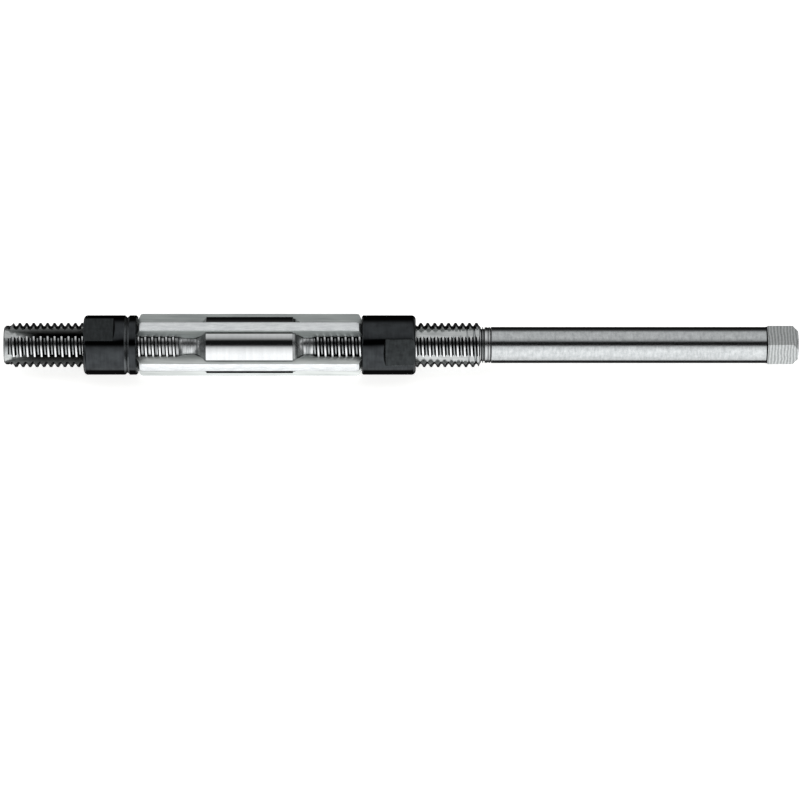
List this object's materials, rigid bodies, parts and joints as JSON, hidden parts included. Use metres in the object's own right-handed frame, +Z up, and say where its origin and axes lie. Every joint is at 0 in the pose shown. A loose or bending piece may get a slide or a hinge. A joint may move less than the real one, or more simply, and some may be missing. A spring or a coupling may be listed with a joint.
{
  "type": "adjustable hand reamer",
  "caption": "Adjustable hand reamer: threaded body with tapered slots, wedge blades held between lock nuts, plain shank and square drive end.",
  "frame": {"origin": "centre of the body's front end face, where the front centre hole opens, on the tool's axis", "axes": "+X along the tool's axis from the threaded front end to the square drive end, +Z up as the tool lies on a table, +Y away from a viewer who has the front end on their left"},
  "size_m": [0.1428, 0.0114, 0.011],
  "materials": {
    "body_steel": "turned and threaded alloy steel, semi-bright, lightly oiled",
    "blade_steel": "hardened high-speed steel, ground bright on the cutting land",
    "nut_steel": "hardened alloy steel, turned smooth, black oxide"
  },
  "bodies": {
    "body": {"body": "body_steel"},
    "front_nut": {"front_nut": "nut_steel"},
    "rear_nut": {"rear_nut": "nut_steel"},
    "blade_1": {"blade_1": "blade_steel"},
    "blade_2": {"blade_2": "blade_steel"},
    "blade_3": {"blade_3": "blade_steel"},
    "blade_4": {"blade_4": "blade_steel"},
    "blade_5": {"blade_5": "blade_steel"}
  },
  "joints": [
    {"name": "front_nut_travel", "type": "slide", "parent": "body", "child": "front_nut", "axis": [1, 0, 0], "range_m": [-0.00889, 0.01106]},
    {"name": "rear_nut_travel", "type": "slide", "parent": "body", "child": "rear_nut", "axis": [1, 0, 0], "range_m": [-0.0091, 0.01132]},
    {"name": "blade_1_travel", "type": "slide", "parent": "body", "child": "blade_1", "axis": [0.9997, 0.0011, 0.0244], "range_m": [-0.009, 0.0112]},
    {"name": "blade_2_travel", "type": "slide", "parent": "body", "child": "blade_2", "axis": [0.9997, -0.0241, 0.0042], "range_m": [-0.009, 0.0112]},
    {"name": "blade_3_travel", "type": "slide", "parent": "body", "child": "blade_3", "axis": [0.9997, -0.0133, -0.0205], "range_m": [-0.009, 0.0112]},
    {"name": "blade_4_travel", "type": "slide", "parent": "body", "child": "blade_4", "axis": [0.9997, 0.0144, -0.0198], "range_m": [-0.009, 0.0112]},
    {"name": "blade_5_travel", "type": "slide", "parent": "body", "child": "blade_5", "axis": [0.9997, 0.0236, 0.0063], "range_m": [-0.009, 0.0112]}
  ],
  "couplings": [
    {"joint": "rear_nut_travel", "follows": "front_nut_travel", "ratio": 1.0231},
    {"joint": "blade_1_travel", "follows": "front_nut_travel", "ratio": 1.0118},
    {"joint": "blade_2_travel", "follows": "front_nut_travel", "ratio": 1.0118},
    {"joint": "blade_3_travel", "follows": "front_nut_travel", "ratio": 1.0118},
    {"joint": "blade_4_travel", "follows": "front_nut_travel", "ratio": 1.0118},
    {"joint": "blade_5_travel", "follows": "front_nut_travel", "ratio": 1.0118}
  ]
}
